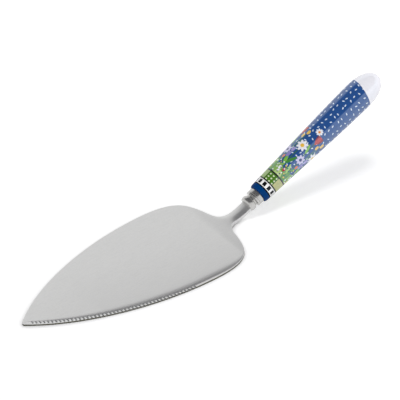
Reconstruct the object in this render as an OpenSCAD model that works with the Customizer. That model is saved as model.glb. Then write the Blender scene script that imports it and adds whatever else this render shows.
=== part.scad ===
// Cake server: a leaf-shaped serrated blade with an upswept neck, a turned bolster and a porcelain handle.
// +X runs from the tip of the blade to the butt of the handle, and the serrated edge faces -Y.
// The flat underside of the blade lies on Z = 0, with the origin below the middle of the whole part.

/* [Blade] */
// Length of the blade from its tip to the corner of the bend
blade_length = 145; // [130:0.1:160]
// Widest width of the blade
blade_width = 68; // [58:1:76]
// Distance of the widest place from the corner of the bend
widest_from_bend = 40; // [36:0.5:46]
// Distance of the steepest place of the shoulders from the corner of the bend
shoulder_from_bend = 12.5; // [10.5:0.1:14]
// Width across the shoulders at their steepest place
shoulder_width = 46.2; // [38:0.2:48]
// Angle of the shoulders at their steepest place to the length of the blade
shoulder_angle = 65.5; // [60:0.5:72]
// Radius of the tip
tip_radius = 1.25; // [1:0.25:3]
// Half of the angle between the edges at the tip
tip_angle = 40.5; // [32:0.5:44]
// Thickness of the blade at its middle
blade_thickness = 2; // [1.8:0.1:2.4]
// Height of the rim on the serrated side, to which the top is ground down
rim_height = 0.6; // [0.5:0.1:0.9]
// Width of the ground border on the serrated side
border_width = 4; // [2:0.1:6]
// Rounding of the edge on the plain side
plain_rounding = 0.3; // [0.2:0.05:0.5]

/* [Serration] */
// Distance between two teeth along the edge
tooth_pitch = 2.1; // [1.8:0.1:3]
// Depth of the cut between two teeth
tooth_depth = 0.5; // [0.3:0.1:0.6]
// Plain length of edge next to the tip
plain_length = 3; // [2:0.5:8]
// Serrated length of edge
serrated_length = 96; // [60:1:100]

/* [Neck] */
// Angle at which the neck and the handle rise from the blade
rise_angle = 25.4; // [18:0.1:26]
// Radius of the bend on its underside
bend_radius = 44; // [25:1:44]
// Width of the neck
neck_width = 7; // [6:0.1:8]
// Height by which the top of the neck is arched above the blade
neck_arch = 0.8; // [0.6:0.1:1.6]
// Height by which the top of the neck is rounded down to its sides
neck_drop = 0.6; // [0.4:0.1:1]
// Distance of the seat of the handle from the corner of the bend
seat_from_bend = 19.5; // [19.5:0.5:26]
// Height of the axis of the handle above the underside of the neck
axis_height = 1.9; // [1.6:0.1:2.2]
// Width of the tab behind the neck
tab_width = 4.6; // [3.6:0.1:5]
// Thickness of the tab
tab_thickness = 1.6; // [1:0.1:1.6]
// Length of the tab
tab_length = 3.4; // [2:0.1:3.6]

/* [Bolster] */
// Length of the bolster
bolster_length = 8.9; // [8.5:0.1:9.3]
// Diameter of the bead at the front
bead_diameter = 9.3; // [9:0.1:10]
// Diameter of the groove behind the bead
groove_diameter = 6.9; // [6.6:0.1:7.4]
// Diameter of the ring under the handle
ring_diameter = 9.8; // [9.4:0.1:10.4]

/* [Handle] */
// Length of the handle
handle_length = 96.4; // [88:0.1:110]
// Diameter of the handle at its seat
seat_diameter = 10.6; // [10.5:0.1:11]
// Diameter of the handle above its rounded foot
foot_diameter = 12; // [11.5:0.1:14]
// Widest diameter of the handle
handle_diameter = 17; // [16:0.1:20]
// Length of the rounded foot
foot_length = 2; // [2:0.1:5]
// Length of the domed end
dome_length = 15.4; // [12:0.1:20]
// Fullness of the dome, where 2 is an ellipse
dome_fullness = 2.1; // [1.9:0.05:2.5]

/* [Tang and cement] */
// Diameter of the tang
tang_diameter = 4; // [3.5:0.1:4.5]
// Length of the tang inside the handle
tang_reach = 58; // [40:1:62]
// Length of the tang inside the bolster
tang_seat = 4.5; // [3:0.1:4.6]
// Number of keying grooves round the tang
groove_count = 7; // [3:1:8]
// Diameter of the bore in the handle
bore_diameter = 6.4; // [5.8:0.1:7]
// Depth of the bore in the handle
bore_depth = 62; // [62:1:70]
// Thickness of the cement between bolster and handle
film = 0.15; // [0.1:0.05:0.3]

/* [Hidden] */

$fn = 96;
half_width = blade_width / 2;
neck_half = neck_width / 2;
braze_gap = 0.05;
overshoot = 1;

// Pulls of the curves that make the outline of the blade, as the handles of a Bezier curve
tip_pull = 0.193 * blade_length;
belly_pull = 0.292 * blade_length;
heel_pull = 0.5 * (widest_from_bend - shoulder_from_bend);
shoulder_pull = 0.335 * (widest_from_bend - shoulder_from_bend);
throat_pull = 13;
neck_pull = 12;
neck_from_bend = 1.2;

// Half outline of the blade laid flat: u along the length from the bend, w half the width
tip_cap_angle = 20;
tip_end_angle = 90 - tip_angle;
tip_steps = 3;
shoulder = [-shoulder_from_bend, shoulder_width / 2];
shoulder_way = [cos(shoulder_angle), -sin(shoulder_angle)];
leaf_start = tip_point(tip_end_angle);
widest = [-widest_from_bend, half_width];
neck_start = [neck_from_bend, neck_half];
tip_way = [cos(tip_angle), sin(tip_angle)];
leaf = [leaf_start, leaf_start + tip_pull * tip_way, widest - [belly_pull, 0], widest];
heel = [widest, widest + [heel_pull, 0], shoulder - shoulder_pull * shoulder_way, shoulder];
throat = [shoulder, shoulder + throat_pull * shoulder_way, neck_start - [neck_pull, 0], neck_start];

function tip_point(a) = [-blade_length + tip_radius * (1 - cos(a)), tip_radius * sin(a)];
function bezier(p, t) =
    pow(1 - t, 3) * p[0] + 3 * pow(1 - t, 2) * t * p[1] + 3 * (1 - t) * t * t * p[2] + pow(t, 3) * p[3];

// Length along the leaf's edge against the curve's own parameter, so that the teeth are evenly spaced
leaf_steps = 60;
leaf_chords = [for (i = [1:leaf_steps])
    norm(bezier(leaf, i / leaf_steps) - bezier(leaf, (i - 1) / leaf_steps))];
function running_sum(list, count) = count == 0 ? 0 : running_sum(list, count - 1) + list[count - 1];
leaf_table = [for (i = [0:leaf_steps]) [running_sum(leaf_chords, i), i / leaf_steps]];
tooth_count = floor(serrated_length / tooth_pitch);
function leaf_at(length) = lookup(length, leaf_table);
tooth_end = leaf_at(plain_length + tooth_count * tooth_pitch);

// The bend: the underside follows an arc between the flat blade and the straight neck
bend_start = -bend_radius * tan(rise_angle / 2);
bend_length = bend_radius * rise_angle * PI / 180;
neck_end = 2 * bend_start + bend_length + seat_from_bend - bolster_length;
function turn(u) = max(0, min(rise_angle, (u - bend_start) / bend_radius * 180 / PI));
function past(u) = max(0, u - bend_start - bend_length);
function spine(u) = [
    min(u, bend_start) + bend_radius * sin(turn(u)) + past(u) * cos(rise_angle),
    bend_radius * (1 - cos(turn(u))) + past(u) * sin(rise_angle)];
function bent(u, y, z) = [spine(u)[0] - z * sin(turn(u)), y, spine(u)[1] + z * cos(turn(u))];

// The top grows from the flat blade into the arch of the neck between these places
arch_start = -15;
arch_run = 11;
arch_border = 10;
function ease(x) = x * x * (3 - 2 * x);
function arch_share(u) = ease(max(0, min(1, (u - arch_start) / arch_run)));

// Stations along the blade: u, half width, and 1 where a cut between two teeth is deepest
belly_steps = 6;
heel_steps = 14;
throat_steps = 14;
neck_steps = 5;
tip_stations = [for (i = [0:tip_steps])
    station(tip_point(tip_cap_angle + (tip_end_angle - tip_cap_angle) * i / tip_steps), 0)];
tooth_stations = [for (i = [0:2 * tooth_count])
    station(bezier(leaf, leaf_at(plain_length + i * tooth_pitch / 2)), i % 2)];
belly_stations = [for (i = [1:belly_steps])
    station(bezier(leaf, tooth_end + (1 - tooth_end) * i / belly_steps), 0)];
heel_stations = [for (i = [1:heel_steps]) station(bezier(heel, i / heel_steps), 0)];
throat_stations = [for (i = [1:throat_steps]) station(bezier(throat, i / throat_steps), 0)];
neck_stations = [for (i = [1:neck_steps])
    [neck_from_bend + (neck_end - neck_from_bend) * i / neck_steps, neck_half, 0]];
leaf_stations = concat(tip_stations, tooth_stations, belly_stations);
stations = concat(leaf_stations, heel_stations, throat_stations, neck_stations);
function station(point, cut) = [point[0], point[1], cut];

// One section of the blade, from the serrated side along the underside and back over the top
// The steps are shares of the half width and of a border, and a cut fades over the border's steps
floor_steps = [-1, -0.5, 0, 0.5, 1];
border_steps = [0, 0.06, 0.25, 0.55, 1];
cut_shares = [0.3, 1, 0.6, 0, 0];
widest_border = 0.96;
border_count = len(border_steps);
plain_rim = blade_thickness - plain_rounding;
function thickness(u) = blade_thickness + neck_arch * arch_share(u);
function border(u, w, wide) = min(wide + arch_border * arch_share(u), widest_border * w);
function rim(u, low) = low + (blade_thickness + neck_arch - neck_drop - low) * arch_share(u);
function crown(u, low, step) = rim(u, low) + (thickness(u) - rim(u, low)) * sqrt(1 - pow(1 - step, 2));
function section(u, w, cut) = concat(
    [for (step = floor_steps) [step * w, 0]],
    [for (step = border_steps) [w - step * border(u, w, plain_rounding), crown(u, plain_rim, step)]],
    [[0, thickness(u)]],
    [for (i = [border_count - 1:-1:0])
        [border_steps[i] * border(u, w, border_width) - w,
         crown(u, rim_height, border_steps[i]) - cut * tooth_depth * cut_shares[i]]]);

// The same run of points round the flat tab behind the neck, a little above the underside
tab_low = 0.55;
tab_high = tab_low + tab_thickness;
tab_section = concat(
    [for (step = floor_steps) [step * tab_width / 2, tab_low]],
    [for (i = [0:border_count - 1]) [tab_width / 2 * (1 - i / border_count), tab_high]],
    [[0, tab_high]],
    [for (i = [border_count - 1:-1:0]) [-tab_width / 2 * (1 - i / border_count), tab_high]]);

blade_rings = concat(
    [for (s = stations) [for (p = section(s[0], s[1], s[2])) bent(s[0], p[0], p[1])]],
    [for (u = [neck_end, neck_end + tab_length]) [for (p = tab_section) bent(u, p[0], p[1])]]);

// Profile of the bolster, from its front face at -bolster_length to its rear face at 0
bead_end = -5;
groove_end = -4.1;
ring_start = -3.9;
ring_ease = 0.25;
line_middle = -2.65;
line_half = 0.2;
line_depth = 0.2;
front_face_diameter = 7.4;
arc_steps = 12;
bead_middle = (bead_end - bolster_length) / 2;
bead_half = (bead_end + bolster_length) / 2;
bolster_profile = concat(
    [[0, -bolster_length]],
    [for (i = [0:arc_steps]) let (a = -90 + 180 * i / arc_steps)
        [(a < 0 ? front_face_diameter : groove_diameter) / 2
            + (bead_diameter - (a < 0 ? front_face_diameter : groove_diameter)) / 2 * cos(a),
         bead_middle + bead_half * sin(a)]],
    [[groove_diameter / 2, groove_end]],
    [[ring_diameter / 2 - ring_ease, ring_start]],
    [[ring_diameter / 2, ring_start + ring_ease]],
    [[ring_diameter / 2, line_middle - line_half]],
    [[ring_diameter / 2 - line_depth, line_middle]],
    [[ring_diameter / 2, line_middle + line_half]],
    [[ring_diameter / 2, -ring_ease], [ring_diameter / 2 - ring_ease, 0], [0, 0]]);

// Profile of the handle, from its seat to the end of its dome
// The body swells from the foot to a short straight stretch ahead of the dome
straight_length = 2;
swell_start = 0.26;
swell_low = 0.245;
swell_high = 0.775;
dome_start = film + handle_length - dome_length;
body_end = dome_start - straight_length;
foot_end = film + foot_length;
body_steps = 24;
dome_steps = 24;
body_length = body_end - foot_end;
foot_radius = foot_diameter / 2;
handle_radius = handle_diameter / 2;
body = [
    [foot_radius, foot_end],
    [foot_radius + swell_start * (handle_radius - foot_radius), foot_end + swell_low * body_length],
    [handle_radius, foot_end + swell_high * body_length],
    [handle_radius, body_end]];
function dome_share(x) = pow(x, 2 / dome_fullness);
handle_profile = concat(
    [[0, film]],
    [for (i = [0:arc_steps]) let (a = 90 * i / arc_steps)
        [seat_diameter / 2 + (foot_radius - seat_diameter / 2) * sin(a), foot_end - foot_length * cos(a)]],
    [for (i = [1:body_steps]) bezier(body, i / body_steps)],
    [for (i = [0:dome_steps]) let (a = 90 * i / dome_steps)
        [handle_radius * dome_share(cos(a)), dome_start + dome_length * dome_share(sin(a))]]);

// Axis of the bolster and handle
seat = [
    seat_from_bend * cos(rise_angle) - axis_height * sin(rise_angle),
    0,
    seat_from_bend * sin(rise_angle) + axis_height * cos(rise_angle)];
tip_x = tip_point(tip_cap_angle)[0];
butt_x = seat[0] + max([for (p = handle_profile) p[1] * cos(rise_angle) + p[0] * sin(rise_angle)]);
middle_x = (tip_x + butt_x) / 2;

// Keying grooves of the tang
groove_width = 1.6;
groove_depth = 0.4;
groove_gap = tang_reach / (groove_count + 1);

// The film of cement stops short of the ring's rim
film_inset = 0.5;

// Middle of a ring of points
function middle(ring) = [for (p = ring) 1] * ring / len(ring);

// Solid through rings of equal point count, closed at both ends by triangles round the middle
module loft(rings) {
    count = len(rings[0]);
    last = len(rings) - 1;
    hub = len(rings) * count;
    points = concat([for (ring = rings) each ring], [middle(rings[0]), middle(rings[last])]);
    front = [for (j = [0:count - 1]) [hub, j, (j + 1) % count]];
    rear = [for (j = [0:count - 1]) [hub + 1, last * count + (j + 1) % count, last * count + j]];
    sides = [for (i = [0:last - 1], j = [0:count - 1]) let (k = (j + 1) % count)
        each [
            [i * count + j, (i + 1) * count + j, (i + 1) * count + k],
            [i * count + j, (i + 1) * count + k, i * count + k]]];
    polyhedron(points, concat(front, sides, rear));
}

// Moves what is drawn round +Z from 0 onto the seat of the handle
module on_seat() {
    translate(seat - [middle_x, 0, 0])
        rotate([0, 90 - rise_angle, 0])
            children();
}

module blade() {
    color("gainsboro")
        translate([-middle_x, 0, 0])
            loft(blade_rings);
}

module bolster() {
    slot_width = tab_width + 2 * braze_gap;
    slot_thickness = tab_thickness + 2 * braze_gap;
    slot_middle = axis_height - (tab_low + tab_high) / 2;
    color("silver")
        on_seat()
            difference() {
                rotate_extrude()
                    polygon(bolster_profile);
                translate([slot_middle - slot_thickness / 2, -slot_width / 2, -bolster_length - overshoot])
                    cube([slot_thickness, slot_width, tab_length + overshoot + braze_gap]);
                translate([0, 0, -tang_seat - braze_gap])
                    cylinder(d = tang_diameter + 2 * braze_gap, h = tang_seat + overshoot);
            }
}

module tang_solid() {
    difference() {
        translate([0, 0, -tang_seat])
            cylinder(d = tang_diameter, h = tang_seat + tang_reach);
        for (i = [1:groove_count])
            translate([0, 0, i * groove_gap])
                tang_groove();
    }
}

module tang_groove() {
    difference() {
        cylinder(d = tang_diameter + overshoot, h = groove_width, center = true);
        cylinder(d = tang_diameter - 2 * groove_depth, h = groove_width + overshoot, center = true);
    }
}

module tang() {
    color("gray")
        on_seat()
            tang_solid();
}

module cement() {
    color("linen")
        on_seat()
            difference() {
                union() {
                    cylinder(d = ring_diameter - 2 * film_inset, h = film);
                    cylinder(d = bore_diameter, h = bore_depth);
                }
                tang_solid();
            }
}

module handle() {
    color("royalblue")
        on_seat()
            difference() {
                rotate_extrude()
                    polygon(handle_profile);
                cylinder(d = bore_diameter, h = bore_depth);
            }
}

blade();
bolster();
tang();
cement();
handle();
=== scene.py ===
import bmesh
import bpy
import math
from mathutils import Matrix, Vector


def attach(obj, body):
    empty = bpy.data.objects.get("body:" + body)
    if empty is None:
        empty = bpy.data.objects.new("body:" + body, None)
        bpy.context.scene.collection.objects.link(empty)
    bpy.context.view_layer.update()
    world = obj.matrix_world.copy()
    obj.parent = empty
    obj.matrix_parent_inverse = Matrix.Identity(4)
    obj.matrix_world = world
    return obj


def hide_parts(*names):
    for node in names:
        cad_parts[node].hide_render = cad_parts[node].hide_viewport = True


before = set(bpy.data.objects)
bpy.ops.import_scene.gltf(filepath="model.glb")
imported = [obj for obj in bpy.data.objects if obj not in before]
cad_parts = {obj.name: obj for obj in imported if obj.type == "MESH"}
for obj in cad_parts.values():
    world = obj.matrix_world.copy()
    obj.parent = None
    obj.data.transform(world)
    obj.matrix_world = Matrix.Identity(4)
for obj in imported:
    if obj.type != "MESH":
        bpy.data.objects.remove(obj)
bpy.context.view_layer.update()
mm = 0.001  # sizes below are in millimetres, Blender works in metres
print("frame loaded:", sorted(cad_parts))

# Camera
shot = {
    "lookAt": (17.47, 26.57, 0.0),  # floor point in the middle of the picture
    "azimuth": -39.17,  # degrees round the object, 0 looks along +Y
    "elevation": 36.8,
    "distance": 1672.2,
    "lens": 270.0,
    "sensor": 36.0,
    "clip": (50.0, 50000.0),
}


def addCamera():
    azimuth, elevation = math.radians(shot["azimuth"]), math.radians(shot["elevation"])
    target = Vector(shot["lookAt"]) * mm
    back = Vector((
        math.cos(elevation) * math.sin(azimuth),
        -math.cos(elevation) * math.cos(azimuth),
        math.sin(elevation),
    ))
    bpy.ops.object.camera_add(location=target + back * shot["distance"] * mm)
    camera = bpy.context.object
    camera.rotation_euler = back.to_track_quat("Z", "Y").to_euler()
    camera.data.lens = shot["lens"]
    camera.data.sensor_width = shot["sensor"]
    camera.data.clip_start, camera.data.clip_end = [limit * mm for limit in shot["clip"]]
    bpy.context.scene.camera = camera


addCamera()
print("camera placed")


# Colours and nodes
def hexColour(code):
    channels = [int(code[i:i + 2], 16) / 255 for i in (1, 3, 5)]
    linear = [c / 12.92 if c <= 0.04045 else ((c + 0.055) / 1.055) ** 2.4 for c in channels]
    return (*linear, 1.0)


def addNode(tree, kind, inputs=None, **settings):
    node = tree.nodes.new(kind)
    for name, value in settings.items():
        setattr(node, name, value)
    for socket, value in (inputs or {}).items():
        if isinstance(value, bpy.types.Node):
            value = next(s for s in value.outputs if s.enabled)
        if isinstance(value, bpy.types.NodeSocket):
            tree.links.new(value, node.inputs[socket])
        else:
            node.inputs[socket].default_value = value
    return node


def startMaterial(name):
    material = bpy.data.materials.new(name)
    material.use_nodes = True
    tree = material.node_tree
    tree.nodes.clear()
    return material, tree


# White studio with a grey ceiling, which the blade mirrors
studio = {
    "floorSize": 6000.0,
    "floorColour": "#dadada",
    "floorGlow": 0.46,  # lifts the lit paper to plain white
    "floorShade": (3.0, 1.6, (0.4, 0.5, 0.77)),  # less close to the object: reach, power, way it looks
    "wallColour": "#ffffff",
    "ceilingColour": "#767678",
    "ceilingFront": (-1.42, -1.3),  # where it starts and where it is darkest, per metre of its height
    "ceilingBack": (2.0, 1.35),
    "ceilingCut": (-0.45, 0.05, 0.9),  # where it gets shorter towards the right, and by how much
    "ceilingLeft": (-1.3, -0.8),
    "ceilingRight": (1.7, 1.1),
    "horizon": 0.02,  # a look lower than this counts as this high
    "fill": (1.8, 0.6),  # strength of the room's light, from the front and from behind
    "lampHeight": 1000.0,
    "lampSize": 260.0,
    "lampPower": 3.6,
    "lampShift": (198.0, 71.0),  # beyond the handle's end and a little behind it
}


# 1 for what is seen straight, mirrored or through glass, 0 for light that falls on a surface
def directLook(tree):
    ray = addNode(tree, "ShaderNodeLightPath")
    look = ray.outputs["Is Camera Ray"]
    for kind in ("Is Glossy Ray", "Is Transmission Ray"):
        look = addNode(tree, "ShaderNodeMath", {0: look, 1: ray.outputs[kind]}, operation="MAXIMUM")
    return look


def buildRoom():
    world = bpy.data.worlds.new("whiteStudio")
    bpy.context.scene.world = world
    world.use_nodes = True
    world.cycles.sampling_method = "NONE"
    tree = world.node_tree
    tree.nodes.clear()
    way = addNode(tree, "ShaderNodeTexCoord")
    parts = addNode(tree, "ShaderNodeSeparateXYZ", {0: way.outputs["Generated"]})
    upward = addNode(tree, "ShaderNodeMath", {
        0: parts.outputs["Z"], 1: studio["horizon"]}, operation="MAXIMUM")
    across = addNode(tree, "ShaderNodeMath", {0: parts.outputs["X"], 1: upward}, operation="DIVIDE")
    along = addNode(tree, "ShaderNodeMath", {0: parts.outputs["Y"], 1: upward}, operation="DIVIDE")
    start, end, depth = studio["ceilingCut"]
    cut = addNode(tree, "ShaderNodeMapRange", {
        "Value": across, "From Min": start, "From Max": end, "To Max": depth},
        interpolation_type="SMOOTHSTEP")
    back = addNode(tree, "ShaderNodeMath", {0: along, 1: cut}, operation="ADD")
    sides = ((across, "ceilingLeft"), (across, "ceilingRight"),
             (along, "ceilingFront"), (back, "ceilingBack"))
    share = 1.0
    for place, side in sides:
        start, full = studio[side]
        inside = addNode(tree, "ShaderNodeMapRange", {
            "Value": place, "From Min": start, "From Max": full}, interpolation_type="SMOOTHSTEP")
        share = addNode(tree, "ShaderNodeMath", {0: share, 1: inside}, operation="MULTIPLY")
    colour = addNode(tree, "ShaderNodeMix", {
        0: share, 6: hexColour(studio["wallColour"]), 7: hexColour(studio["ceilingColour"])},
        data_type="RGBA")
    front, behind = studio["fill"]
    fill = addNode(tree, "ShaderNodeMapRange", {
        "Value": parts.outputs["Y"], "From Min": -1.0, "From Max": 1.0,
        "To Min": front, "To Max": behind})
    look = directLook(tree)
    strength = addNode(tree, "ShaderNodeMapRange", {"Value": look, "To Min": fill, "To Max": 1.0})
    light = addNode(tree, "ShaderNodeBackground", {"Color": colour, "Strength": strength})
    addNode(tree, "ShaderNodeOutputWorld", {"Surface": light})


def buildFloor():
    bpy.ops.mesh.primitive_plane_add(size=studio["floorSize"] * mm)
    floor = bpy.context.object
    floor.name = "floor"
    material, tree = startMaterial("whitePaperFloor")
    paper = addNode(tree, "ShaderNodeBsdfDiffuse", {"Color": hexColour(studio["floorColour"])})
    reach, power, way = studio["floorShade"]
    toLight = addNode(tree, "ShaderNodeCombineXYZ", dict(enumerate(way)))
    clear = addNode(tree, "ShaderNodeAmbientOcclusion", {
        "Distance": reach * mm, "Normal": toLight}, samples=4)
    glow = addNode(tree, "ShaderNodeMath", {0: clear.outputs["AO"], 1: power}, operation="POWER")
    for factor in (directLook(tree), studio["floorGlow"]):
        glow = addNode(tree, "ShaderNodeMath", {0: glow, 1: factor}, operation="MULTIPLY")
    lifted = addNode(tree, "ShaderNodeEmission", {"Strength": glow})
    both = addNode(tree, "ShaderNodeAddShader", {0: paper, 1: lifted})
    addNode(tree, "ShaderNodeOutputMaterial", {"Surface": both})
    floor.data.materials.append(material)


def buildLamp():
    place = Vector((*studio["lampShift"], studio["lampHeight"]))
    bpy.ops.object.light_add(type="AREA", location=place * mm)
    lamp = bpy.context.object
    lamp.name = "softbox"
    lamp.rotation_euler = place.to_track_quat("Z", "Y").to_euler()
    lamp.data.shape = "SQUARE"
    lamp.data.size = studio["lampSize"] * mm
    lamp.data.energy = studio["lampPower"]
    lamp.visible_glossy = False  # a diffused lamp, which leaves no square in the steel
    lamp.visible_camera = False


buildRoom()
buildFloor()
buildLamp()
print("studio built")

# Blade: outline laid flat, in millimetres from the corner of the bend
bladeForm = {
    "length": 144.92,
    "width": 68.0,
    "widestFromBend": 40.0,
    "shoulder": (-12.5, 23.1),
    "shoulderAngle": 65.5,
    "tipRadius": 1.25,
    "tipAngle": 40.5,
    "tipStart": 6.0,  # degrees round the tip to the first row
    "leafPulls": (0.193, 0.292),  # how long its curve keeps straight at tip and belly, of the length
    "heelPulls": (0.5, 0.335),  # the same at belly and shoulder, of the way between them
    "throatPulls": (13.0, 12.0),  # and at shoulder and neck
    "thickness": 2.0,
    "rollWidth": 6.0,  # the top rolls down to the serrated edge over this width
    "rollShare": 0.18,  # or over this share of a narrow part
    "rollDrop": 0.48,
    "rollPower": 4.0,
    "leastRoll": 0.3,
    "roomShare": 0.96,  # share of the half width that one side may take up
    "leastLean": 0.05,  # cosine of the steepest edge
    "bow": (40.0, 0.5),  # width and drop of the faint bow towards the serrated edge
    "strip": 1.3,  # level strip along the serrated edge
    "edge": (0.25, 0.3),  # width and lower height of the ground edge
    "arris": (0.25, 0.3),  # width and drop of the rounding along the plain edge and the neck
    "underBevel": (0.2, 3),  # width and steps of the rounding below
    "toothPitch": 2.1,
    "notchDepth": 0.75,
    "notchReach": 1.4,  # how far a notch runs in over the top
    "toothRoom": 2.8,  # where the blade is narrower than this, the edge and notches shrink
    "plainTip": 3.0,
    "serrated": 96.0,
    "rise": 25.4,  # degrees that the neck and handle rise
    "bendRadius": 44.0,
    "neckStart": 1.2,
    "neckWidth": 7.0,
    "neckArch": 0.8,
    "neckDrop": (0.9, 0.25),  # on the serrated and on the plain side
    "neckRoll": (1.0, 1.0),  # share of the half width that it takes up
    "neckPower": 2.0,
    "archStart": -15.0,
    "archRun": 11.0,
    "neckFall": (-8.0, 12.0),  # start and length of its fall to the serrated side
    "seatFromBend": 19.5,
    "axisHeight": 1.9,
    "bolsterLength": 8.9,
    "tab": (3.4, 4.6, 1.6),  # length, width, thickness
    "tabLow": 0.55,
    "middle": -20.177,  # the part's middle, measured from the corner of the bend
    "smoothAngle": 35.0,
}
rise = math.radians(bladeForm["rise"])
bendStart = -bladeForm["bendRadius"] * math.tan(rise / 2)
bendLength = bladeForm["bendRadius"] * rise
neckEnd = 2 * bendStart + bendLength + bladeForm["seatFromBend"] - bladeForm["bolsterLength"]
# columns across the blade, from each edge inwards, and between them
rollSteps = (0.0, 0.08, 0.25, 0.5, 0.75, 1.0, 1.2, 1.3, 1.4, 1.6, 2.0, 2.5, 3.2, 4.0, 5.0, 6.0, 7.3)
middleSteps = 4
# rows along the blade, and in each tooth: (place in it, share of the notch that is cut there)
rowCounts = {"tip": 8, "plain": 4, "belly": 16, "heel": 32, "throat": 40, "neck": 12, "measure": 2000}
toothRows = ((0.0, 0.0), (0.24, 0.0), (0.48, 0.0), (0.54, 1.0), (0.74, 1.0), (0.94, 1.0))


def curvePoint(handles, t):
    weights = ((1 - t) ** 3, 3 * (1 - t) ** 2 * t, 3 * (1 - t) * t * t, t ** 3)
    return tuple(sum(w * h[i] for w, h in zip(weights, handles)) for i in (0, 1))


def onward(point, way, far):
    return point[0] + far * way[0], point[1] + far * way[1]


def outlineCurves():
    form = bladeForm
    tipAngle, shoulderAngle = math.radians(form["tipAngle"]), math.radians(form["shoulderAngle"])
    tipWay = (math.cos(tipAngle), math.sin(tipAngle))
    shoulderWay = (math.cos(shoulderAngle), -math.sin(shoulderAngle))
    straight = (1.0, 0.0)
    leafStart = (-form["length"] + form["tipRadius"] * (1 - tipWay[1]), form["tipRadius"] * tipWay[0])
    widest = (-form["widestFromBend"], form["width"] / 2)
    shoulder = form["shoulder"]
    neckStart = (form["neckStart"], form["neckWidth"] / 2)
    tipOut, bellyIn = [share * form["length"] for share in form["leafPulls"]]
    bellyOut, shoulderIn = [share * (shoulder[0] - widest[0]) for share in form["heelPulls"]]
    shoulderOut, neckIn = form["throatPulls"]
    leaf = (leafStart, onward(leafStart, tipWay, tipOut), onward(widest, straight, -bellyIn), widest)
    heel = (widest, onward(widest, straight, bellyOut), onward(shoulder, shoulderWay, -shoulderIn),
            shoulder)
    throat = (shoulder, onward(shoulder, shoulderWay, shoulderOut), onward(neckStart, straight, -neckIn),
              neckStart)
    return leaf, heel, throat


# Rows of the blade from tip to neck: (place along it, half width, share of the notch that is cut there)
def bladeRows():
    form, counts = bladeForm, rowCounts
    leaf, heel, throat = outlineCurves()
    rows = []
    tipRadius = form["tipRadius"]
    tipSweep = 90 - form["tipAngle"] - form["tipStart"]
    for i in range(counts["tip"]):
        a = math.radians(form["tipStart"] + tipSweep * i / counts["tip"])
        rows.append((tipRadius * (1 - math.cos(a)) - form["length"], tipRadius * math.sin(a), 0.0))
    fine = [curvePoint(leaf, i / counts["measure"]) for i in range(counts["measure"] + 1)]
    run = [0.0]  # length of the leaf's edge up to each of these points
    for a, b in zip(fine, fine[1:]):
        run.append(run[-1] + math.dist(a, b))
    teeth = math.floor(form["serrated"] / form["toothPitch"])
    toothEnd = form["plainTip"] + teeth * form["toothPitch"]
    places = [(i * form["plainTip"] / counts["plain"], 0.0) for i in range(counts["plain"])]
    for i in range(teeth):
        toothStart = form["plainTip"] + i * form["toothPitch"]
        places += [(toothStart + phase * form["toothPitch"], cut) for phase, cut in toothRows]
    bellyStep = (run[-1] - toothEnd) / counts["belly"]
    places += [(toothEnd + bellyStep * i, 0.0) for i in range(counts["belly"])]
    k = 0
    for place, cut in places:
        while run[k + 1] < place:
            k += 1
        t = (k + (place - run[k]) / (run[k + 1] - run[k])) / counts["measure"]
        rows.append((*curvePoint(leaf, t), cut))
    for curve, part in ((heel, "heel"), (throat, "throat")):
        rows += [(*curvePoint(curve, i / counts[part]), 0.0) for i in range(counts[part])]
    neckStep = (neckEnd - form["neckStart"]) / counts["neck"]
    for i in range(counts["neck"] + 1):
        rows.append((form["neckStart"] + neckStep * i, form["neckWidth"] / 2, 0.0))
    return rows


def smooth(place, start, run):
    x = min(1.0, max(0.0, (place - start) / run))
    return x * x * (3 - 2 * x)


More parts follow.
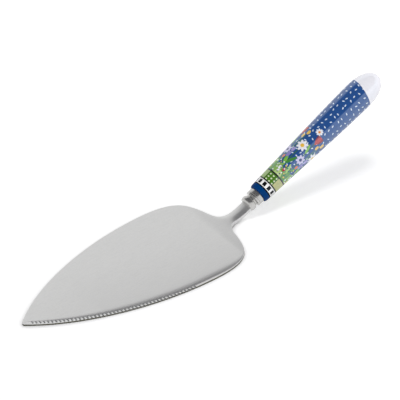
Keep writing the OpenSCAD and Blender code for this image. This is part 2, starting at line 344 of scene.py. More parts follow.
def bladePoint(rows, row, column, columns):
    form = bladeForm
    u, w, cut = rows[row]
    before, after = rows[max(row - 1, 0)], rows[min(row + 1, len(rows) - 1)]
    lean = (after[0] - before[0]) / math.dist(before[:2], after[:2])  # cosine of the edge's angle
    lean = max(form["leastLean"], lean)
    arch = smooth(u, form["archStart"], form["archRun"])
    fall = smooth(u, *form["neckFall"])
    top = form["thickness"] + form["neckArch"] * arch
    power = form["rollPower"] + (form["neckPower"] - form["rollPower"]) * arch
    room = form["roomShare"] * w * lean
    wide = min(rollSteps[-1], room)
    side = -1 if column < columns // 2 else 1
    step = column if side < 0 else columns - 1 - column
    fade = (form["shoulder"][0] - u) / (form["widestFromBend"] + form["shoulder"][0])
    fade = min(1.0, max(0.0, fade))
    share = form["rollShare"] * fade * (2 - fade)  # the roll runs out towards the shoulder
    share += (form["neckRoll"][0] - share) * arch
    roll = max(form["leastRoll"], min(form["rollWidth"], share * room))
    drop = form["neckDrop"][0] * fall + form["rollDrop"] * (roll / form["rollWidth"]) * (1 - arch)
    farRoll = max(form["leastRoll"], form["neckRoll"][1] * room)
    farDrop = form["neckDrop"][1] * arch
    bowWidth, bow = form["bow"]
    bowShare = min(1.0, 2 * room / bowWidth)
    squeeze = min(1.0, room / form["toothRoom"])
    reach = form["notchReach"] * squeeze
    if step < len(rollSteps):
        d = rollSteps[step] * squeeze
        if rollSteps[step] > form["notchReach"]:
            beyond = (rollSteps[step] - form["notchReach"]) / (rollSteps[-1] - form["notchReach"])
            d = reach + (wide - reach) * beyond
        y = w - d / lean
    else:
        y = (w - wide / lean) * (1 - (step - len(rollSteps) + 1) / (middleSteps + 1))
        d = (w - y) * lean

    def onTop(d):
        near, far = (d, 2 * w * lean - d) if side < 0 else (2 * w * lean - d, d)
        near = max(0.0, near - form["strip"] * squeeze * fade)
        rolled = drop * max(0.0, 1 - near / roll) ** power
        rolledFar = farDrop * max(0.0, 1 - far / farRoll) ** power
        bowed = bow * bowShare ** 2 * (1 - arch) * max(0.0, 1 - near / (bowWidth * bowShare)) ** 2
        return top - rolled - rolledFar - bowed

    z = onTop(d)
    plain = 1.0 if side > 0 else arch  # only the serrated edge is ground
    run, low = form["edge"]
    run = (run + (form["arris"][0] - run) * plain) * squeeze
    rim = onTop(run)
    low += (rim - form["arris"][1] - low) * plain
    if d < run:
        z = low + (rim - low) * d / run
    if cut and side < 0 and d < reach:
        foot = max(low, rim - form["notchDepth"] * squeeze)
        z = min(z, foot + (onTop(reach) - foot) * d / reach)
    return u, side * y, z


# Turns the flat blade up round the bend
def bentPoint(u, y, z):
    radius = bladeForm["bendRadius"]
    turn = max(0.0, min(rise, (u - bendStart) / radius))
    past = max(0.0, u - bendStart - bendLength)
    x = min(u, bendStart) + radius * math.sin(turn) + past * math.cos(rise) - z * math.sin(turn)
    height = radius * (1 - math.cos(turn)) + past * math.sin(rise) + z * math.cos(turn)
    return x - bladeForm["middle"], y, height


def buildBlade():
    form = bladeForm
    rows = bladeRows()
    columns = 2 * (len(rollSteps) + middleSteps) + 1
    bpy.ops.object.select_all(action="DESELECT")
    bpy.ops.mesh.primitive_grid_add(x_subdivisions=len(rows) - 1, y_subdivisions=columns - 1, size=1)
    blade = bpy.context.object
    blade.name = "serverBlade"
    for vertex in blade.data.vertices:
        row = round((vertex.co.x + 0.5) * (len(rows) - 1))
        column = round((vertex.co.y + 0.5) * (columns - 1))
        vertex.co = bladePoint(rows, row, column, columns)
    bpy.ops.object.mode_set(mode="EDIT")
    bpy.ops.mesh.select_all(action="SELECT")
    bpy.ops.mesh.extrude_region_move(TRANSFORM_OT_translate={"value": (0, 0, -form["thickness"])})
    bpy.ops.transform.resize(value=(1, 1, 0), center_override=(0, 0, 0))  # the flat underside
    bpy.ops.mesh.select_all(action="SELECT")
    bpy.ops.mesh.normals_make_consistent(inside=False)

    close = 1e-4  # this near to a plane counts as on it
    steep, endOn = 0.5, 0.9  # shares of the normal that tell the sides and the neck's end
    mesh = bmesh.from_edit_mesh(blade.data)  # the rim of the underside, without the neck's end
    bpy.ops.mesh.select_mode(type="EDGE")
    bpy.ops.mesh.select_all(action="DESELECT")
    for edge in mesh.edges:
        low = all(v.co.z < close for v in edge.verts)
        ends = all(v.co.x > neckEnd - close for v in edge.verts)
        edge.select = low and not ends and any(abs(f.normal.z) < steep for f in edge.link_faces)
    bevel, steps = form["underBevel"]
    bpy.ops.mesh.bevel(offset=bevel, segments=steps, profile=0.5)

    mesh = bmesh.from_edit_mesh(blade.data)  # the tab behind the neck
    bpy.ops.mesh.select_mode(type="FACE")
    bpy.ops.mesh.select_all(action="DESELECT")
    for face in mesh.faces:
        face.select = face.normal.x > endOn and face.calc_center_median().x > neckEnd - close
    tabLength, tabWidth, tabThickness = form["tab"]
    narrower = tabWidth / form["neckWidth"]
    thinner = tabThickness / (form["thickness"] + form["neckArch"])
    bpy.ops.mesh.extrude_region_move(TRANSFORM_OT_translate={"value": (0, 0, 0)})
    bpy.ops.transform.resize(value=(1, narrower, thinner), center_override=(neckEnd, 0, 0))
    bpy.ops.transform.translate(value=(0, 0, form["tabLow"]))
    bpy.ops.mesh.extrude_region_move(TRANSFORM_OT_translate={"value": (tabLength, 0, 0)})
    bpy.ops.object.mode_set(mode="OBJECT")

    for vertex in blade.data.vertices:
        vertex.co = Vector(bentPoint(*vertex.co)) * mm
    bpy.ops.object.shade_smooth_by_angle(angle=math.radians(form["smoothAngle"]))
    return blade


# Bolster and handle: turned profiles (radius, distance from the handle's seat)
bolsterForm = {
    "bead": (-8.9, -5.0, 3.7, 4.65, 3.45),  # start, end, then front, widest and rear radius
    "beadSteps": 32,
    "grooveEnd": -4.1,
    "ring": (-3.9, 4.9, 0.25),  # start, radius, ease
    "corner": 0.3,  # how much of its ease is left at 45 degrees
    "line": (-2.65, 0.2, 0.2),  # fine line round the ring: middle, half width, depth
    "socket": (2.05, -4.55),  # radius and depth of the tang's hole
    "slotGap": 0.05,
    "turns": 128,  # steps round it
    "smoothAngle": 30.0,
}
handleForm = {
    "film": 0.15,
    "length": 96.38,
    "seatRadius": 5.3,
    "footRadius": 6.0,
    "radius": 8.5,
    "foot": 2.0,
    "footSteps": 16,
    "body": (0.26, 0.245, 0.775),  # shares of the swell and the length at the inner points of its curve
    "bodySteps": 40,
    "dome": 15.4,
    "domeFullness": 2.1,
    "domeSteps": 48,
    "straight": 2.0,
    "bore": (3.2, 62.0),  # radius, depth
    "turns": 160,
    "smoothAngle": 40.0,
}
seatFar, seatHigh = bladeForm["seatFromBend"], bladeForm["axisHeight"]
seat = (
    seatFar * math.cos(rise) - seatHigh * math.sin(rise) - bladeForm["middle"],
    0.0,
    seatFar * math.sin(rise) + seatHigh * math.cos(rise),
)


def turnOnLathe(name, profile, steps):
    bpy.ops.object.select_all(action="DESELECT")
    bpy.ops.mesh.primitive_plane_add(size=1)
    piece = bpy.context.object
    piece.name = name
    bpy.ops.object.mode_set(mode="EDIT")
    bpy.ops.mesh.select_mode(type="VERT")
    bpy.ops.mesh.select_all(action="SELECT")
    bpy.ops.mesh.merge(type="CENTER")  # one point, which then draws the profile
    bpy.ops.transform.translate(value=(profile[0][0], 0, profile[0][1]))
    for a, b in zip(profile, profile[1:]):
        step = (b[0] - a[0], 0, b[1] - a[1])
        bpy.ops.mesh.extrude_vertices_move(TRANSFORM_OT_translate={"value": step})
    bpy.ops.mesh.select_all(action="SELECT")
    bpy.ops.mesh.spin(steps=steps, angle=2 * math.pi, center=(0, 0, 0), axis=(0, 0, 1))
    bpy.ops.mesh.select_all(action="SELECT")
    bpy.ops.mesh.remove_doubles(threshold=0.0005)
    bpy.ops.mesh.normals_make_consistent(inside=False)
    bpy.ops.object.mode_set(mode="OBJECT")
    return piece


def putOnSeat(piece):
    bpy.ops.object.select_all(action="DESELECT")
    piece.select_set(True)
    bpy.context.view_layer.objects.active = piece
    piece.rotation_euler = (0, math.pi / 2 - rise, 0)
    piece.scale = (mm, mm, mm)
    piece.location = Vector(seat) * mm
    bpy.ops.object.transform_apply(location=True, rotation=True, scale=True)


def buildBolster():
    form = bolsterForm
    start, end, front, widest, rear = form["bead"]
    ringStart, ringRadius, ease = form["ring"]
    line, lineHalf, lineDepth = form["line"]
    socketRadius, socketDepth = form["socket"]
    middle, half = (start + end) / 2, (end - start) / 2
    corner = ease * form["corner"]
    profile = [(0, start)]
    for i in range(form["beadSteps"] + 1):
        a = math.pi * (i / form["beadSteps"] - 0.5)
        base = front if a < 0 else rear
        profile.append((base + (widest - base) * math.cos(a), middle + half * math.sin(a)))
    profile += [(rear, form["grooveEnd"]), (ringRadius - ease, ringStart)]
    profile += [(ringRadius - corner, ringStart + corner), (ringRadius, ringStart + ease)]
    profile += [(ringRadius, line - lineHalf), (ringRadius - lineDepth, line)]
    profile += [(ringRadius, line + lineHalf), (ringRadius, -ease)]
    profile += [(ringRadius - corner, -corner), (ringRadius - ease, 0)]
    profile += [(socketRadius, 0), (socketRadius, socketDepth), (0, socketDepth)]
    bolster = turnOnLathe("turnedBolster", profile, form["turns"])

    slotLength, slotWidth, slotThickness = [size + 2 * form["slotGap"] for size in bladeForm["tab"]]
    slotMiddle = bladeForm["axisHeight"] - bladeForm["tabLow"] - bladeForm["tab"][2] / 2
    bpy.ops.object.select_all(action="DESELECT")
    bpy.ops.mesh.primitive_cube_add(size=1, location=(slotMiddle, 0, start + form["slotGap"]))
    cutter = bpy.context.object
    cutter.scale = (slotThickness, slotWidth, 2 * (slotLength - form["slotGap"]))
    bpy.ops.object.transform_apply(location=True, rotation=True, scale=True)
    bpy.context.view_layer.objects.active = bolster
    slot = bolster.modifiers.new("tabSlot", "BOOLEAN")
    slot.object = cutter
    slot.operation = "DIFFERENCE"
    bpy.ops.object.modifier_apply(modifier=slot.name)
    bpy.data.objects.remove(cutter)
    putOnSeat(bolster)
    bpy.ops.object.shade_smooth_by_angle(angle=math.radians(form["smoothAngle"]))
    return bolster


def buildHandle():
    form = handleForm
    boreRadius, boreDepth = form["bore"]
    footEnd = form["film"] + form["foot"]
    domeStart = form["film"] + form["length"] - form["dome"]
    bodyEnd = domeStart - form["straight"]
    swell, bodyLength = form["radius"] - form["footRadius"], bodyEnd - footEnd
    swellShare, lowShare, highShare = form["body"]
    body = (
        (form["footRadius"], footEnd),
        (form["footRadius"] + swellShare * swell, footEnd + lowShare * bodyLength),
        (form["radius"], footEnd + highShare * bodyLength),
        (form["radius"], bodyEnd),
    )
    profile = [(0, boreDepth), (boreRadius, boreDepth), (boreRadius, form["film"])]
    for i in range(form["footSteps"] + 1):
        a = math.pi / 2 * i / form["footSteps"]
        profile.append((form["seatRadius"] + (form["footRadius"] - form["seatRadius"]) * math.sin(a),
                        footEnd - form["foot"] * math.cos(a)))
    profile += [curvePoint(body, i / form["bodySteps"]) for i in range(1, form["bodySteps"] + 1)]
    for i in range(form["domeSteps"]):
        a = math.pi / 2 * i / form["domeSteps"]
        r, h = [f(a) ** (2 / form["domeFullness"]) for f in (math.cos, math.sin)]
        profile.append((form["radius"] * r, domeStart + form["dome"] * h))
    profile.append((0.0, domeStart + form["dome"]))
    handle = turnOnLathe("porcelainHandle", profile, form["turns"])
    putOnSeat(handle)
    bpy.ops.object.shade_smooth_by_angle(angle=math.radians(form["smoothAngle"]))
    return handle


blade = buildBlade()
print("blade built:", len(blade.data.polygons), "faces")
bolster = buildBolster()
handle = buildHandle()
print("bolster and handle turned:", len(bolster.data.polygons), len(handle.data.polygons), "faces")


# Stainless steel, ground to a fine satin: soft grey reflections with a faint grain along the blade
satinSteel = {
    "colour": "#eeeeed",
    "grainColour": "#e8e8e7",
    "grain": (6.0, 0.35),  # length and width of a grinding mark
    "speck": 0.8,
    "grainRange": (0.12, 0.4),  # between these the noise goes from one colour to the other
    "roughness": (0.355, 0.405),
    "sideColour": "#d4d4d4",  # darker steel colour where the faces turn sideways
    "sides": (0.8, 0.6),  # upward share of the normal where a side starts and where it is full
    "paintedFootShade": ("#5c5a4c", 0.92, 0.72),  # painted contact shade, a dark line along the foot of the sides, between these heights
    "bump": (0.02, 0.05),  # strength, depth
}


def makeSatinSteel():
    form = satinSteel
    material, tree = startMaterial("satinGroundStainless")
    place = addNode(tree, "ShaderNodeTexCoord")
    along, across = [1 / (size * mm) for size in form["grain"]]
    stretched = addNode(tree, "ShaderNodeMapping", {
        "Vector": place.outputs["Object"], "Scale": (along, across, across)})
    grain = addNode(tree, "ShaderNodeTexNoise", {"Vector": stretched, "Scale": 1.0, "Detail": 3.0})
    speck = addNode(tree, "ShaderNodeTexNoise", {
        "Vector": place.outputs["Object"], "Scale": 1 / (form["speck"] * mm), "Detail": 2.0})
    both = addNode(tree, "ShaderNodeMath", {0: grain, 1: speck}, operation="MULTIPLY")
    low, high = form["grainRange"]
    share = addNode(tree, "ShaderNodeMapRange", {"Value": both, "From Min": low, "From Max": high})
    colour = addNode(tree, "ShaderNodeMix", {
        0: share, 6: hexColour(form["colour"]), 7: hexColour(form["grainColour"])}, data_type="RGBA")
    surface = addNode(tree, "ShaderNodeNewGeometry")
    facing = addNode(tree, "ShaderNodeSeparateXYZ", {0: surface.outputs["Normal"]})
    upright = addNode(tree, "ShaderNodeMath", {0: facing.outputs["Z"]}, operation="ABSOLUTE")
    start, full = form["sides"]
    side = addNode(tree, "ShaderNodeMapRange", {"Value": upright, "From Min": start, "From Max": full})
    # painted contact shade: the sides darken to a dark olive colour just above the floor
    paintedShadeColour, paintedShadeTop, paintedShadeFull = form["paintedFootShade"]
    height = addNode(tree, "ShaderNodeSeparateXYZ", {0: place.outputs["Object"]})
    paintedFootShade = addNode(tree, "ShaderNodeMapRange", {
        "Value": height.outputs["Z"], "From Min": paintedShadeTop * mm, "From Max": paintedShadeFull * mm})
    sidesAndPaintedShade = addNode(tree, "ShaderNodeMix", {
        0: paintedFootShade, 6: hexColour(form["sideColour"]), 7: hexColour(paintedShadeColour)}, data_type="RGBA")
    colour = addNode(tree, "ShaderNodeMix", {0: side, 6: colour, 7: sidesAndPaintedShade}, data_type="RGBA")
    low, high = form["roughness"]
    roughness = addNode(tree, "ShaderNodeMapRange", {"Value": grain, "To Min": low, "To Max": high})
    strength, depth = form["bump"]
    bump = addNode(tree, "ShaderNodeBump", {
        "Height": both, "Strength": strength, "Distance": depth * mm})
    shader = addNode(tree, "ShaderNodeBsdfPrincipled", {
        "Base Color": colour, "Metallic": 1.0, "Roughness": roughness, "Normal": bump})
    addNode(tree, "ShaderNodeOutputMaterial", {"Surface": shader})
    return material


# Stainless steel, turned and polished: clear bright and dark bands with faint rings of the tool
polishedSteel = {
    "name": "polishedTurnedStainless",
    "colour": "#d6d5d3",
    "ringColour": "#b0afad",
    "toolPitch": 0.25,
    "ringRun": 20.0,  # a ring keeps its tone over about this length
    "roughness": (0.22, 0.28),
}
# Steel rod, rolled and keyed with a tool: dull grey with fine rings, so that the cement grips it
keyedSteel = {
    "name": "keyedSteelRod",
    "colour": "#8f9092",
    "ringColour": "#6f7072",
    "toolPitch": 0.4,
    "ringRun": 10.0,
    "roughness": (0.4, 0.55),
}


def makeTurnedSteel(form):
    material, tree = startMaterial(form["name"])
    place = addNode(tree, "ShaderNodeTexCoord")
    onAxis = addNode(tree, "ShaderNodeMapping", {
        "Vector": place.outputs["Object"], "Location": Vector(seat) * mm,
        "Rotation": (0, math.pi / 2 - rise, 0), "Scale": (mm, mm, mm)}, vector_type="TEXTURE")
    squeezed = addNode(tree, "ShaderNodeMapping", {
        "Vector": onAxis, "Scale": (1 / form["ringRun"], 1 / form["ringRun"], 1 / form["toolPitch"])})
    rings = addNode(tree, "ShaderNodeTexNoise", {"Vector": squeezed, "Scale": 1.0, "Detail": 2.0})
    colour = addNode(tree, "ShaderNodeMix", {
        0: rings, 6: hexColour(form["colour"]), 7: hexColour(form["ringColour"])}, data_type="RGBA")
    low, high = form["roughness"]
    roughness = addNode(tree, "ShaderNodeMapRange", {"Value": rings, "To Min": low, "To Max": high})
    shader = addNode(tree, "ShaderNodeBsdfPrincipled", {
        "Base Color": colour, "Metallic": 1.0, "Roughness": roughness})
    addNode(tree, "ShaderNodeOutputMaterial", {"Surface": shader})
    return material


# Porcelain, printed under a clear glaze: flat bright colours beneath a sharp wet gloss
printedGlaze = {
    "ground": "#07478d",
    "bands": (  # start and end along the handle, colour
        (-1.0, 3.4, "#033a76"), (3.2, 4.0, "#060606"), (4.0, 7.35, "#fafafa"), (7.35, 8.15, "#060606"),
        (13.45, 14.3, "#060606")),
    "dome": (82.9, 1.65, 39.3, "#f0eff5"),  # start, how far it leans, the way it leans, colour
    "blocks": (11, 0.742, 0.29, 5.65, 1.25, "#060606"),  # count, shift, half width, height, half height
    "checks": (6, 1.07, 10.8, 2.85),  # count, shift, height, half height
    "checkColours": ("#98b26e", "#4c7d16", "#bdbf84"),
    "seam": (0.04, "#1c2810"),  # dark line between two checks
    "dots": (18, 1.9, 0.24, "#dfe9c4"),  # on the second checks: count round, distance along, size
    "flecks": (15, 3.4, 0.72, 0.34, "#e2eefa"),  # count round, distance along, half length, half width
    "fleckPlay": 0.4,  # share of its cell over which a fleck strays
    "speckle": (0.7, 0.3, 0.7),  # size of the fine speckle, and the range of its noise that shows
    "tone": (0.86, 0.97, 1.03),  # darkest on the print, darkest on the dome, lightest
    "glossRise": (3.2, 18.0, 0.03),  # the gloss grows between these heights, from this share
    "glossEdge": (0.3, 0.75, 0.25),  # and fades to this share where the surface turns away
    "specular": 0.5,
    "roughness": 0.06,
    "ior": 1.9,
    "tint": "#c8e4ff",
    "coat": (1.6, 0.03),  # IOR and roughness of the clear glaze
}
gardenPrint = {  # flowers on the blue ground: across, along, half width, half length, turn, colour
    "repeats": 4,
    "shift": 0.063,
    "radius": 7.3,  # the print is laid out flat at this radius
    "hills": (
        (-3.6, 12.5, 4.4, 8.5, 0, "#8ab45a"), (2.6, 12.0, 4.2, 10.5, 0, "#5f963a"),
        (-0.8, 12.0, 3.2, 5.5, 0, "#b7cf86")),
    "stems": (
        (-2.2, 27.0, 0.3, 9.0, 0, "#2c5f2a"), (3.2, 23.0, 0.3, 6.5, 0, "#2c5f2a"),
        (2.4, 35.0, 0.3, 9.0, 3, "#2c5f2a"), (-4.8, 31.0, 0.28, 12.0, 2, "#3d7a33"),
        (5.1, 33.0, 0.28, 9.0, 0, "#3d7a33")),
    "leaves": (
        (-3.5, 24.0, 0.95, 3.8, 22, "#7dbb3c"), (-0.9, 25.5, 0.95, 3.8, -22, "#3f8a2e"),
        (2.0, 21.0, 0.8, 3.2, 20, "#a5c96b"), (4.4, 21.5, 0.8, 3.2, -20, "#5a9a2c"),
        (1.5, 36.5, 0.7, 3.0, 18, "#7dbb3c")),
    "blooms": (
        (-4.8, 27.5, 1.2, 1.9, 0, "#8f86c8"), (-4.6, 31.2, 1.0, 1.6, 0, "#a79fd8"),
        (-4.9, 44.0, 0.95, 1.5, 0, "#efc75a"), (5.0, 41.0, 0.85, 1.4, 0, "#efc75a"),
        (1.6, 44.4, 1.0, 2.6, 14, "#8e1a22"), (3.2, 44.4, 1.0, 2.6, -14, "#8e1a22"),
        (2.4, 44.0, 1.0, 2.8, 0, "#c23a34"), (5.0, 25.0, 0.8, 1.1, 0, "#e8772e"),
        (0.4, 19.0, 0.9, 1.2, 0, "#b4262c"), (-2.6, 18.5, 0.9, 1.2, 0, "#f3f3f8")),
    "daisies": (  # across, along, petal length, petal width, petals, heart
        (-2.2, 36.0, 3.5, 1.05, "#f3f3f8", "#f0c040"), (3.2, 29.5, 2.9, 0.95, "#cfc9ea", "#22306e"),
        (-0.6, 48.0, 2.1, 0.7, "#f3f3f8", "#e8902e")),
    "petalTurns": (0, 45, 90, 135),
    "heart": 0.32,  # of the petal length
    "meadow": (14.0, 23.0, 1.5, 0.34),  # start, end, spacing and size of the small flecks
    "meadowColours": ("#f3f3f8", "#22306e", "#efc75a", "#1b6b66"),
}


# Cells round and along the handle, one for each whole number
def handleCells(tree, turn, height, count, spacing):
    across = addNode(tree, "ShaderNodeMath", {0: turn, 1: float(count)}, operation="MULTIPLY")
    along = addNode(tree, "ShaderNodeMath", {0: height, 1: spacing}, operation="DIVIDE")
    return addNode(tree, "ShaderNodeCombineXYZ", {0: across, 1: along})


# Each of these paints part of the print, as a list of masks with their colours
def paintFlecks(tree, turn, height):
    count, spacing, halfLength, halfWidth, paint = printedGlaze["flecks"]
    play = printedGlaze["fleckPlay"]
    cell = handleCells(tree, turn, height, count, spacing)
    cellName = addNode(tree, "ShaderNodeVectorMath", {0: cell}, operation="FLOOR")
    inCell = addNode(tree, "ShaderNodeVectorMath", {0: cell}, operation="FRACTION")
    chance = addNode(tree, "ShaderNodeTexWhiteNoise", {"Vector": cellName}, noise_dimensions="2D")
    middle = -0.5 - play / 2
    shifted = addNode(tree, "ShaderNodeVectorMath", {
        0: chance.outputs["Color"], 1: (play, play, 0.0), 2: (middle, middle, 0.0)},
        operation="MULTIPLY_ADD")
    fromMiddle = addNode(tree, "ShaderNodeVectorMath", {0: inCell, 1: shifted}, operation="ADD")
    ownTurn = addNode(tree, "ShaderNodeMath", {
        0: chance.outputs["Value"], 1: math.pi}, operation="MULTIPLY")
    turned = addNode(tree, "ShaderNodeVectorRotate", {
        "Vector": fromMiddle, "Angle": ownTurn}, rotation_type="Z_AXIS")
    scaled = addNode(tree, "ShaderNodeVectorMath", {
        0: turned, 1: (spacing / halfWidth, spacing / halfLength, 0.0)}, operation="MULTIPLY")
    reach = addNode(tree, "ShaderNodeVectorMath", {0: scaled}, operation="LENGTH")
    inside = addNode(tree, "ShaderNodeMath", {0: reach.outputs["Value"], 1: 1.0}, operation="LESS_THAN")
    return [(inside, paint)]


def paintGarden(tree, turn, height):
    garden = gardenPrint
    repeat = addNode(tree, "ShaderNodeMath", {
        0: turn, 1: float(garden["repeats"]), 2: garden["shift"]}, operation="MULTIPLY_ADD")
    inRepeat = addNode(tree, "ShaderNodeMath", {0: repeat}, operation="FRACT")
    width = 2 * math.pi * garden["radius"] / garden["repeats"]
    across = addNode(tree, "ShaderNodeMath", {
        0: inRepeat, 1: width, 2: -width / 2}, operation="MULTIPLY_ADD")
    sheet = addNode(tree, "ShaderNodeCombineXYZ", {0: across, 1: height})
    shapes = [*garden["hills"], *garden["stems"], *garden["leaves"], *garden["blooms"]]
    for x, z, length, wide, petals, heart in garden["daisies"]:
        shapes += [(x, z, wide, length, way, petals) for way in garden["petalTurns"]]
        shapes.append((x, z, garden["heart"] * length, garden["heart"] * length, 0, heart))
    layers = []
    for x, z, wide, length, way, paint in shapes:
        laid = addNode(tree, "ShaderNodeMapping", {
            "Vector": sheet, "Location": (x, z, 0.0), "Rotation": (0.0, 0.0, math.radians(way)),
            "Scale": (wide, length, 1.0)}, vector_type="TEXTURE")
        reach = addNode(tree, "ShaderNodeVectorMath", {0: laid}, operation="LENGTH")
        inside = addNode(tree, "ShaderNodeMath", {
            0: reach.outputs["Value"], 1: 1.0}, operation="LESS_THAN")
        layers.append((inside, paint))
    return layers


def paintMeadow(tree, onAxis, height):
    low, high, spacing, size = gardenPrint["meadow"]
    kinds = gardenPrint["meadowColours"]
    spots = addNode(tree, "ShaderNodeTexVoronoi", {"Vector": onAxis, "Scale": 1 / spacing})
    near = addNode(tree, "ShaderNodeMath", {
        0: spots.outputs["Distance"], 1: size}, operation="LESS_THAN")
    inMeadow = addNode(tree, "ShaderNodeMath", {
        0: height, 1: (low + high) / 2, 2: (high - low) / 2}, operation="COMPARE")
    spotted = addNode(tree, "ShaderNodeMath", {0: near, 1: inMeadow}, operation="MULTIPLY")
    kind = addNode(tree, "ShaderNodeSeparateXYZ", {0: spots.outputs["Color"]})
    half = 0.5 / len(kinds)
    layers = []
    for i, paint in enumerate(kinds):
        own = addNode(tree, "ShaderNodeMath", {
            0: kind.outputs["X"], 1: (2 * i + 1) * half, 2: half}, operation="COMPARE")
        inside = addNode(tree, "ShaderNodeMath", {0: spotted, 1: own}, operation="MULTIPLY")
        layers.append((inside, paint))
    return layers


def paintChecks(tree, turn, height):
    form = printedGlaze
    count, shift, middle, half = form["checks"]
    kinds = form["checkColours"]
    inBand = addNode(tree, "ShaderNodeMath", {0: height, 1: middle, 2: half}, operation="COMPARE")
    check = addNode(tree, "ShaderNodeMath", {
        0: turn, 1: float(count), 2: shift + count}, operation="MULTIPLY_ADD")
    number = addNode(tree, "ShaderNodeMath", {0: check}, operation="FLOOR")
    kind = addNode(tree, "ShaderNodeMath", {0: number, 1: float(len(kinds))}, operation="MODULO")
    nearly = 0.1  # whole numbers count as equal within this
    layers = []
    for i, paint in enumerate(kinds):
        own = addNode(tree, "ShaderNodeMath", {0: kind, 1: float(i), 2: nearly}, operation="COMPARE")
        inside = addNode(tree, "ShaderNodeMath", {0: inBand, 1: own}, operation="MULTIPLY")
        layers.append((inside, paint))
    dotted = layers[1][0]  # only the second kind has dots
    count, spacing, size, paint = form["dots"]
    cell = handleCells(tree, turn, height, count, spacing)
    inCell = addNode(tree, "ShaderNodeVectorMath", {0: cell}, operation="FRACTION")
    reach = addNode(tree, "ShaderNodeVectorMath", {0: inCell, 1: (0.5, 0.5, 0.0)}, operation="DISTANCE")
    dot = addNode(tree, "ShaderNodeMath", {0: reach.outputs["Value"], 1: size}, operation="LESS_THAN")
    layers.append((addNode(tree, "ShaderNodeMath", {0: dot, 1: dotted}, operation="MULTIPLY"), paint))
    width, paint = form["seam"]
    inCheck = addNode(tree, "ShaderNodeMath", {0: check}, operation="FRACT")
    seam = addNode(tree, "ShaderNodeMath", {0: inCheck, 1: 0.0, 2: width}, operation="COMPARE")
    layers.append((addNode(tree, "ShaderNodeMath", {0: seam, 1: inBand}, operation="MULTIPLY"), paint))
    return layers


def paintBands(tree, turn, height):
    layers = []
    for low, high, paint in printedGlaze["bands"]:
        inside = addNode(tree, "ShaderNodeMath", {
            0: height, 1: (low + high) / 2, 2: (high - low) / 2}, operation="COMPARE")
        layers.append((inside, paint))
    count, shift, width, middle, half, paint = printedGlaze["blocks"]
    block = addNode(tree, "ShaderNodeMath", {
        0: turn, 1: float(count), 2: shift}, operation="MULTIPLY_ADD")
    inBlock = addNode(tree, "ShaderNodeMath", {0: block}, operation="FRACT")
    across = addNode(tree, "ShaderNodeMath", {0: inBlock, 1: 0.5, 2: width}, operation="COMPARE")
    along = addNode(tree, "ShaderNodeMath", {0: height, 1: middle, 2: half}, operation="COMPARE")
    layers.append((addNode(tree, "ShaderNodeMath", {0: across, 1: along}, operation="MULTIPLY"), paint))
    return layers


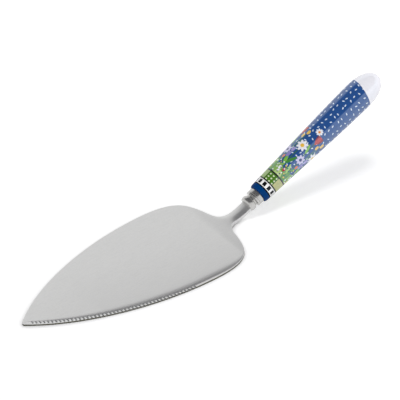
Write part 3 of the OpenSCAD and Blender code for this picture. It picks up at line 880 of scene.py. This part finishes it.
def makePrintedGlaze():
    form = printedGlaze
    material, tree = startMaterial("printedGlazedPorcelain")
    place = addNode(tree, "ShaderNodeTexCoord")
    onAxis = addNode(tree, "ShaderNodeMapping", {
        "Vector": place.outputs["Object"], "Location": Vector(seat) * mm,
        "Rotation": (0, rise - math.pi / 2, math.pi), "Scale": (mm, mm, mm)}, vector_type="TEXTURE")
    parts = addNode(tree, "ShaderNodeSeparateXYZ", {0: onAxis})
    height = parts.outputs["Z"]
    angle = addNode(tree, "ShaderNodeMath", {
        0: parts.outputs["Y"], 1: parts.outputs["X"]}, operation="ARCTAN2")
    turn = addNode(tree, "ShaderNodeMath", {0: angle, 1: 2 * math.pi}, operation="DIVIDE")
    start, lean, way, paint = form["dome"]
    turnedWay = addNode(tree, "ShaderNodeMath", {0: angle, 1: math.radians(way)}, operation="SUBTRACT")
    aside = addNode(tree, "ShaderNodeMath", {0: turnedWay}, operation="SINE")
    leaned = addNode(tree, "ShaderNodeMath", {0: aside, 1: lean, 2: height}, operation="MULTIPLY_ADD")
    dome = addNode(tree, "ShaderNodeMath", {0: leaned, 1: start}, operation="GREATER_THAN")
    layers = [*paintFlecks(tree, turn, height), *paintGarden(tree, turn, height),
              *paintMeadow(tree, onAxis, height), *paintChecks(tree, turn, height),
              *paintBands(tree, turn, height), (dome, paint)]
    colour = hexColour(form["ground"])
    for mask, paint in layers:
        colour = addNode(tree, "ShaderNodeMix", {
            0: mask, 6: colour, 7: hexColour(paint)}, data_type="RGBA")

    size, low, high = form["speckle"]
    darkest, darkestDome, lightest = form["tone"]
    speckle = addNode(tree, "ShaderNodeTexNoise", {"Vector": onAxis, "Scale": 1 / size, "Detail": 3.0})
    dark = addNode(tree, "ShaderNodeMapRange", {
        "Value": dome, "To Min": darkest, "To Max": darkestDome})
    tone = addNode(tree, "ShaderNodeMapRange", {
        "Value": speckle, "From Min": low, "From Max": high, "To Min": dark, "To Max": lightest})
    colour = addNode(tree, "ShaderNodeMix", {
        0: 1.0, 6: colour, 7: tone}, data_type="RGBA", blend_type="MULTIPLY")
    start, full, least = form["glossRise"]
    rising = addNode(tree, "ShaderNodeMapRange", {
        "Value": height, "From Min": start, "From Max": full, "To Min": least, "To Max": 1.0})
    weight = addNode(tree, "ShaderNodeLayerWeight")
    start, full, least = form["glossEdge"]
    edge = addNode(tree, "ShaderNodeMapRange", {
        "Value": weight.outputs["Facing"], "From Min": start, "From Max": full,
        "To Min": 1.0, "To Max": least})
    gloss = addNode(tree, "ShaderNodeMath", {0: rising, 1: edge}, operation="MULTIPLY")
    specular = addNode(tree, "ShaderNodeMath", {0: gloss, 1: form["specular"]}, operation="MULTIPLY")
    coatIor, coatRoughness = form["coat"]
    shader = addNode(tree, "ShaderNodeBsdfPrincipled", {
        "Base Color": colour, "Roughness": form["roughness"], "IOR": form["ior"],
        "Specular IOR Level": specular, "Specular Tint": hexColour(form["tint"]),
        "Coat Weight": gloss, "Coat IOR": coatIor, "Coat Roughness": coatRoughness})
    addNode(tree, "ShaderNodeOutputMaterial", {"Surface": shader})
    return material


# Setting cement, poured and hardened: chalky off-white with sandy grains and small pores
pouredCement = {
    "colour": "#cfc9bb",
    "grainColour": "#a79f8e",
    "grain": 0.5,
    "roughness": (0.8, 0.95),
    "bump": (0.4, 0.1),  # strength, depth
}


def makePouredCement():
    form = pouredCement
    material, tree = startMaterial("pouredSettingCement")
    place = addNode(tree, "ShaderNodeTexCoord")
    grain = addNode(tree, "ShaderNodeTexNoise", {
        "Vector": place.outputs["Object"], "Scale": 1 / (form["grain"] * mm), "Detail": 4.0})
    colour = addNode(tree, "ShaderNodeMix", {
        0: grain, 6: hexColour(form["colour"]), 7: hexColour(form["grainColour"])}, data_type="RGBA")
    low, high = form["roughness"]
    roughness = addNode(tree, "ShaderNodeMapRange", {"Value": grain, "To Min": low, "To Max": high})
    strength, depth = form["bump"]
    bump = addNode(tree, "ShaderNodeBump", {
        "Height": grain, "Strength": strength, "Distance": depth * mm})
    shader = addNode(tree, "ShaderNodeBsdfPrincipled", {
        "Base Color": colour, "Roughness": roughness, "Normal": bump})
    addNode(tree, "ShaderNodeOutputMaterial", {"Surface": shader})
    return material


blade.data.materials.append(makeSatinSteel())
bolster.data.materials.append(makeTurnedSteel(polishedSteel))
handle.data.materials.append(makePrintedGlaze())
for node, material in (("tang", makeTurnedSteel(keyedSteel)), ("cement", makePouredCement())):
    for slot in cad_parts[node].material_slots:
        slot.material = material
print("materials made")

for piece, node, slotName in ((blade, "blade", "blade_steel"), (bolster, "bolster", "bolster_steel"),
                              (handle, "handle", "porcelain")):
    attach(piece, "root")
    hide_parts(node)

bpy.context.scene.view_settings.view_transform = "Standard"
